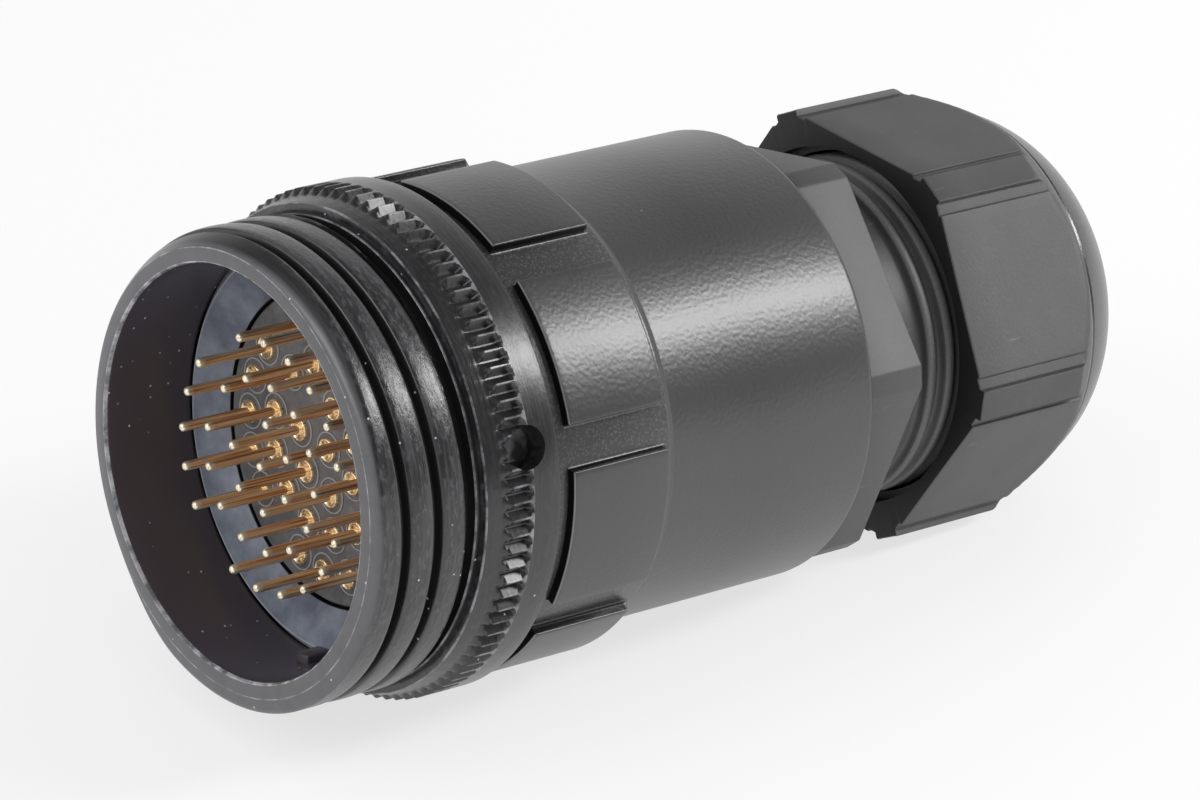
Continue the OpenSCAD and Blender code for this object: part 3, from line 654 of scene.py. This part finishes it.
def knurlForm(x, r, turn):
    column = round(turn / 360 * ringSet["teeth"] * perTooth) % (ringSet["teeth"] * perTooth)
    around = ringSet["columns"][column % perTooth]
    turn = (column // perTooth + around / toothMm) * 360 / ringSet["teeth"]
    if ringSet["knurlFrom"] < x < ringSet["knurlTo"] and r > ringSet["under"]:
        fromGroove = min(around, toothMm - around) - ringSet["columns"][1]
        deep = ringSet["floor"] + ringSet["slope"] * max(fromGroove, 0)
        rise = max((x - ringSet["runOut"]) / (ringSet["knurlTo"] - ringSet["runOut"]), 0)
        r = min(r, deep + (ringSet["radius"] - ringSet["floor"]) * rise)
    return x, r, turn


reshape(ring, knurlForm)
openPiece(ring)
bpy.ops.mesh.normals_make_consistent(inside=False)
hole = ringSet["hole"]
clearSelection()
bpy.ops.mesh.primitive_cylinder_add(vertices=hole["steps"], radius=hole["radius"] * mm,
                                    depth=hole["length"] * mm)
cutter = bpy.context.object
cutter.location = (hole["x"] * mm, 0, 0)
bpy.ops.object.transform_apply()
openPiece(cutter)
bpy.ops.transform.translate(value=(0, 0, (hole["floor"] + hole["length"] / 2) * mm))
bpy.ops.object.mode_set(mode="OBJECT")
reshape(cutter, lambda x, r, turn: (x, r, turn + hole["turn"] - 90))
bore = ring.modifiers.new("hole", "BOOLEAN")
bore.operation, bore.solver, bore.object = "DIFFERENCE", "EXACT", cutter
bpy.context.view_layer.objects.active = ring
bpy.ops.object.modifier_apply(modifier="hole")
bpy.data.objects.remove(cutter)

# Polarising key at the bottom of the bore
keySet = {
    "front": 7.7, "rear": 10.8, "width": 2.2, "inner": 20.5, "outer": 21.9, "turn": -102.4, "round": 0.25,
}
clearSelection()
bpy.ops.mesh.primitive_cube_add(size=mm)
key = bpy.context.object
openPiece(key)
bpy.ops.transform.resize(value=(keySet["rear"] - keySet["front"], keySet["outer"] - keySet["inner"],
                                keySet["width"]))
bpy.ops.transform.translate(value=((keySet["front"] + keySet["rear"]) / 2 * mm,
                                   (keySet["inner"] + keySet["outer"]) / 2 * mm, 0))
bpy.ops.mesh.bevel(offset=keySet["round"] * mm, segments=3)
bpy.ops.object.mode_set(mode="OBJECT")
reshape(key, lambda x, r, turn: (x, r, turn + keySet["turn"]))
joinAll(noseShell, [ring, key])
finishPiece(noseShell, shellPaint, "connector", ["front_shell"], noseSet["smooth"])
print("stage 5: nose shell", len(noseShell.data.polygons), "faces")

# Sleeve: turned tube with a soft rear edge, one grip pad spun and copied round
sleeveSet = {
    "section": [(21.3, 23.1), (21.3, 24.7), (21.36, 24.84), (21.5, 24.9), (36.66, 24.9), (36.78, 24.87),
                (37.7, 24.23), (37.84, 24.17), (38.0, 24.15), (50.0, 24.15), (64.4, 24.15), (64.7, 24.1),
                (64.92, 23.97), (65.06, 23.78), (65.1, 23.55), (65.1, 16.05), (57.5, 16.05), (57.5, 19.4),
                (54.5, 22.4), (33.5, 22.4), (33.5, 23.1), (21.3, 23.1)],
    "steps": 288, "tube": 24.9,
    "pad": [(23.45, 24.5), (23.45, 25.86), (23.47, 25.93), (23.53, 25.98), (23.65, 26.01), (23.85, 26.035),
            (24.1, 26.05), (30.0, 26.05), (35.45, 26.05), (35.6, 26.02), (35.7, 25.94), (36.1, 25.0),
            (36.2, 24.75), (36.2, 24.5)],
    "padTurn": 34.5, "padSteps": 20, "padMiddle": 49.4, "pads": 8, "padEdge": 0.16, "padEdgeFrom": 25.0,
    "fillet": 0.38, "filletRows": (0.0, 0.03, 0.09, 0.18, 0.28, 0.38), "sideWithin": 0.2,  # degrees
}
sleeve = drawLine("sleeveShell", sleeveSet["section"])
turnLine(sleeve, sleeveSet["steps"])
pad = drawLine("pad", sleeveSet["pad"])
openPiece(pad)
bpy.ops.mesh.edge_face_add()
bpy.ops.mesh.spin(steps=sleeveSet["padSteps"], angle=math.radians(sleeveSet["padTurn"]), center=(0, 0, 0),
                  axis=(1, 0, 0))
bpy.ops.mesh.select_all(action="SELECT")
bpy.ops.mesh.remove_doubles(threshold=tiny)
bpy.ops.mesh.normals_make_consistent(inside=False)
bpy.ops.object.mode_set(mode="OBJECT")
sides = [face for face in pad.data.polygons if len(face.vertices) == len(sleeveSet["pad"])]
sideEdges = {edgeKey for face in sides for edgeKey in face.edge_keys}


def overTube(edge):
    top = max(math.hypot(*pad.data.vertices[v].co[1:]) for v in edge.vertices)
    return edge.key in sideEdges and top > sleeveSet["padEdgeFrom"] * mm


pickEdges(pad, overTube)
bpy.ops.mesh.bevel(offset=sleeveSet["padEdge"] * mm, segments=3)
bpy.ops.object.mode_set(mode="OBJECT")
turns = [math.degrees(math.atan2(v.co.z, v.co.y)) for v in pad.data.vertices]
middle, reach = (min(turns) + max(turns)) / 2, (max(turns) - min(turns)) / 2
upwards = Vector((0, math.cos(math.radians(middle)), math.sin(math.radians(middle))))
openPiece(pad)
for height in sleeveSet["filletRows"]:  # cuts through both side walls for a hollow fillet at their foot
    bpy.ops.mesh.select_all(action="SELECT")
    level = (sleeveSet["tube"] + height) * math.cos(math.radians(reach)) * mm
    bpy.ops.mesh.bisect(plane_co=upwards * level, plane_no=upwards, threshold=tiny)
bpy.ops.object.mode_set(mode="OBJECT")


def footForm(x, r, turn):
    away = (turn - middle + 180) % 360 - 180
    fillet = sleeveSet["fillet"]
    gap = fillet - min(max(r - sleeveSet["tube"], 0), fillet)
    if abs(away) > reach - sleeveSet["sideWithin"]:
        out = (fillet - math.sqrt(fillet ** 2 - gap ** 2)) / sleeveSet["tube"]
        turn += math.copysign(math.degrees(out), away)
    return x, r, turn


reshape(pad, footForm)
pads = []
for step in range(sleeveSet["pads"]):
    copy = copyOf(pad)
    lift = sleeveSet["padMiddle"] + 360 / sleeveSet["pads"] * step - middle
    reshape(copy, lambda x, r, turn: (x, r, turn + lift))
    pads.append(copy)
bpy.data.objects.remove(pad)
joinAll(sleeve, pads)
finishPiece(sleeve, sleevePaint, "connector", ["sleeve"])
print("stage 6: sleeve", len(sleeve.data.polygons), "faces")

# Gland body: moulded hexagon flange with cut corners, and a neck with the nut's thread
glandSet = {
    "pitch": 2.6, "steps": 240, "laps": 12, "lapsAhead": 5, "root": 17.35,
    "threadFrom": 77.3, "threadTo": 88.4, "fadeIn": 0.5, "fadeOut": 0.6,
    "ridge": [(0, 18.45), (0.22, 18.43), (0.42, 18.34), (0.56, 18.16), (0.68, 17.86), (0.8, 17.55),
              (0.95, 17.4), (1.1, 17.35), (1.3, 17.35)],  # half width, radius
    "front": 67.0, "rear": 89.0,
    "inside": [(90.0, 16.55), (90.0, 16.15), (74.6, 16.15), (74.6, 13.0), (56.3, 13.0), (56.3, 15.2),
               (57.1, 16.0), (66.3, 16.0), (67.0, 16.0)],
    "flange": (65.1, 72.4), "flat": 20.95, "facet": 2.4, "turn": -12.7, "hole": 14.5, "holeWithin": 15.2,
    "edge": 0.22, "edgeFrom": 25,  # width in mm, and the least angle that gets it
}
firstAt = glandSet["threadFrom"] - glandSet["lapsAhead"] * glandSet["pitch"]
glandBody = drawLine("glandBody", wholeSection(glandSet["ridge"], firstAt))
turnLine(glandBody, glandSet["steps"], glandSet["pitch"], glandSet["laps"])
cutAt(glandBody, glandSet["front"], front=True)
cutAt(glandBody, glandSet["rear"], rear=True)


def neckForm(x, r, turn):
    lap = round((x - glandSet["threadFrom"]) / glandSet["pitch"] - turn / 360)
    ridgeAt = glandSet["threadFrom"] + glandSet["pitch"] * (turn / 360 + lap)
    fadeIn = clamped((ridgeAt - glandSet["threadFrom"]) / glandSet["fadeIn"])
    fadeOut = clamped((glandSet["threadTo"] - x) / glandSet["fadeOut"])
    return x, glandSet["root"] + (r - glandSet["root"]) * eased(fadeIn * fadeOut), turn


reshape(glandBody, neckForm)
carryOn(glandBody, glandSet["rear"], glandSet["inside"])
closeBetween(glandBody, glandSet["front"])
clearSelection()
cornerToFlat = math.cos(math.radians(30))  # of a hexagon
front, rear = glandSet["flange"]
bpy.ops.mesh.primitive_cylinder_add(vertices=6, radius=glandSet["flat"] / cornerToFlat * mm,
                                    depth=(rear - front) * mm, end_fill_type="NOTHING",
                                    rotation=(0, math.radians(90), 0))
flange = bpy.context.object
bpy.ops.object.transform_apply()
openPiece(flange)
bpy.ops.transform.translate(value=((front + rear) / 2 * mm, 0, 0))


def betweenFlats(edge):
    a, b = (flange.data.vertices[v].co.x for v in edge.vertices)
    return abs(a - b) > mm


pickEdges(flange, betweenFlats)
bpy.ops.mesh.bevel(offset=glandSet["facet"] / 2 / cornerToFlat * mm, segments=1)
bpy.ops.object.mode_set(mode="OBJECT")
for x in glandSet["flange"]:
    carryOn(flange, x, [(x, glandSet["hole"])])
openPiece(flange)
bpy.ops.mesh.select_all(action="DESELECT")
bpy.ops.object.mode_set(mode="OBJECT")
for vertex in flange.data.vertices:
    vertex.select = math.hypot(*vertex.co[1:]) < glandSet["holeWithin"] * mm
bpy.ops.object.mode_set(mode="EDIT")
bpy.ops.mesh.bridge_edge_loops()
bpy.ops.mesh.select_all(action="SELECT")
bpy.ops.mesh.normals_make_consistent(inside=False)
bpy.ops.object.mode_set(mode="OBJECT")
soften = flange.modifiers.new("edges", "BEVEL")
soften.width, soften.segments, soften.limit_method = glandSet["edge"] * mm, 3, "ANGLE"
soften.angle_limit = math.radians(glandSet["edgeFrom"])
bpy.context.view_layer.objects.active = flange
bpy.ops.object.modifier_apply(modifier="edges")
reshape(flange, lambda x, r, turn: (x, r, turn + glandSet["turn"]))
joinAll(glandBody, [flange])
finishPiece(glandBody, nylonPaint, "connector", ["gland_body"])
print("stage 7: gland body", len(glandBody.data.polygons), "faces")

# Gland nut: a hexagon with ribs across its corners and sunk strips beside them, chamfered into a dome
nutSet = {
    "flat": 20.95, "flatColumns": (0.0, 1.2, 2.4, 3.6, 4.8, 6.0, 7.2, 8.5),  # from the axis, along the flat
    "strip": [(20.94, 8.7), (20.87, 8.79), (20.67, 8.83), (20.62, 8.9), (20.62, 9.5), (20.62, 9.95)],
    "rib": [(20.65, 10.0), (21.1, 10.24), (21.2, 10.31), (21.2, 10.4), (20.82, 11.01), (20.386, 11.77)],
    "edge": [(81.2, 23.97), (81.23, 24.08), (81.3, 24.15)], "corner": 24.19,
    "rows": (81.42, 86.0, 90.0, 94.6),
    "chamfer": (94.7, 24.19, 100.1, 20.35), "chamferRows": [94.9 + 0.2 * i for i in range(23)],
    "crease": (99.7, 0.3, 0.16), "creaseRows": [99.4, 99.55, 99.7, 99.85, 100.0, 100.3],
    "dome": {"x": 95.4, "r": 7.5, "bend": 13.8}, "domeTurns": range(22, 65, 3), "end": 107.968,
    "lip": 0.06, "blend": 0.2, "smooth": 28,
    "inside": [(107.968, 13.2), (107.93, 12.95), (107.8, 12.76), (107.6, 12.7), (104.97, 12.7),
               (104.9, 13.15), (94.8, 18.75), (83.6, 18.75), (83.6, 19.55), (81.2, 19.55), (81.2, 23.97)],
    "wall": 19.9,  # what lies within it stays round
}
dome = nutSet["dome"]


def nutTurned(x):
    xA, rA, xB, rB = nutSet["chamfer"]
    cone = rA + (rB - rA) * max(x - xA, 0) / (xB - xA) if x < xB else 0
    arc = dome["r"] + math.sqrt(max(dome["bend"] ** 2 - (x - dome["x"]) ** 2, 0)) if x > dome["x"] else 0
    at, wide, deep = nutSet["crease"]
    return max(cone, arc) - deep * max(1 - abs(x - at) / wide, 0)


rows = nutSet["chamferRows"] + nutSet["creaseRows"]
rows += [dome["x"] + dome["bend"] * math.sin(math.radians(angle)) for angle in nutSet["domeTurns"]]
rows += [nutSet["end"] - nutSet["lip"]]
outside = nutSet["edge"] + [(x, nutSet["corner"]) for x in nutSet["rows"]] + [(x, nutTurned(x)) for x in rows]
half = [(nutSet["flat"], v) for v in nutSet["flatColumns"]] + nutSet["strip"] + nutSet["rib"]
columns = [(math.degrees(math.atan2(v, u)), math.hypot(u, v)) for u, v in half]
columns += [(60 - turn, r) for turn, r in reversed(columns[1:-1])]  # one sixth, from flat to flat
nut = drawLine("glandNut", outside + nutSet["inside"])
turnLine(nut, len(columns) * 6)


def nutForm(x, r, turn):
    column = round(turn / 360 * len(columns) * 6) % (len(columns) * 6)
    offset, wide = columns[column % len(columns)]
    turn = 30 + column // len(columns) * 60 + offset
    if r > nutSet["wall"] and x < nutSet["chamfer"][0]:
        r = wide - (nutSet["corner"] - r)
    elif r > nutSet["wall"]:
        r = softLeast(wide, r, nutSet["blend"])
    return x, r, turn


reshape(nut, nutForm)
finishPiece(nut, nylonPaint, "nut", ["gland_nut"], nutSet["smooth"])
print("stage 8: gland nut", len(nut.data.polygons), "faces")

# Contacts: one turned pin with a round tip and a cupped collar, copied into the insulator's 37 holes
contactSet = {
    "tip": [(3.6, 0.0), (3.615, 0.16), (3.66, 0.29), (3.74, 0.4), (3.86, 0.47), (4.05, 0.5)],
    "shaft": [(8.0, 0.5), (12.5, 0.5)],
    "collar": [(12.57, 0.54), (12.57, 0.64), (12.42, 0.78), (12.26, 0.92), (12.15, 1.04), (12.12, 1.13),
               (12.15, 1.21), (12.25, 1.27), (12.42, 1.29), (12.62, 1.28)],
    "tail": [(12.64, 0.95), (34.0, 0.95), (34.0, 0.7), (29.1, 0.7), (29.1, 0.0)],
    "steps": 24, "smooth": 40, "clock": 49.4,
    "rings": [(4.8, -45, -54, 6, ()), (9.0, -45, -27, 13, ()),
              (13.2, -18, -18, 20, (5, 12, 19))],  # radius, first turn, step, places, the empty ones
    "mark": [(12.62, 1.72), (12.5, 1.76), (12.46, 1.81), (12.46, 1.87), (12.5, 1.92), (12.62, 1.96)],
    "markSteps": 40,
}
places = [(0.0, 0.0)]
for r, first, step, count, empty in contactSet["rings"]:
    for i in range(count):
        if i not in empty:
            angle = math.radians(contactSet["clock"] + first + step * i)
            places.append((r * math.cos(angle), r * math.sin(angle)))


def copyToPlaces(name, piece):
    copies = []
    for y, z in places:
        copy = copyOf(piece)
        openPiece(copy)
        bpy.ops.transform.translate(value=(0, y * mm, z * mm))
        bpy.ops.object.mode_set(mode="OBJECT")
        copies.append(copy)
    bpy.data.objects.remove(piece)
    joinAll(copies[0], copies[1:])
    copies[0].name = copies[0].data.name = name
    return copies[0]


pin = drawLine("pin", contactSet["tip"] + contactSet["shaft"] + contactSet["collar"] + contactSet["tail"])
turnLine(pin, contactSet["steps"])
contacts = copyToPlaces("contactPins", pin)
finishPiece(contacts, goldPaint, "connector", ["contact_pins"], contactSet["smooth"])
mark = drawLine("mark", contactSet["mark"])
turnLine(mark, contactSet["markSteps"])
marks = copyToPlaces("insulatorRings", mark)
finishPiece(marks, insulatorPaint, "connector", [], contactSet["smooth"])
print("stage 9: contacts", len(contacts.data.polygons), "faces")

# Face seal: a rubber cone round the insulator, with a rounded lip at the bore and a narrow gap inside
sealSet = {
    "section": [(13.6, 21.85), (11.6, 21.85), (11.5, 21.3), (11.05, 21.12), (10.93, 21.08), (10.84, 21.02),
                (10.8, 20.94), (10.8, 20.86), (10.84, 20.76), (11.0, 20.35), (11.66, 18.7), (12.43, 16.78),
                (12.47, 16.7), (12.54, 16.66), (12.62, 16.65), (13.6, 16.65), (13.6, 21.85)],
    "steps": 192, "smooth": 40,
}
seal = drawLine("faceSeal", sealSet["section"])
turnLine(seal, sealSet["steps"])
finishPiece(seal, sealPaint, "connector", ["face_seal"], sealSet["smooth"])
print("stage 10: face seal", len(seal.data.polygons), "faces")

nodePaints = {
    "front_shell": shellPaint, "face_seal": sealPaint, "front_insulator": insulatorPaint,
    "rear_insulator": insulatorPaint, "contact_pins": goldPaint, "retaining_nut": shellPaint,
    "shell_oring": rubberPaint, "sleeve": sleevePaint, "gland_body": nylonPaint, "gland_oring": rubberPaint,
    "clamp_cage": nylonPaint, "cable_seal": rubberPaint, "gland_nut": nylonPaint,
}
for name, paint in nodePaints.items():
    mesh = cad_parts[name].data
    mesh.materials.clear()
    mesh.materials.append(paint)
print("stage 11: materials on the CAD nodes")
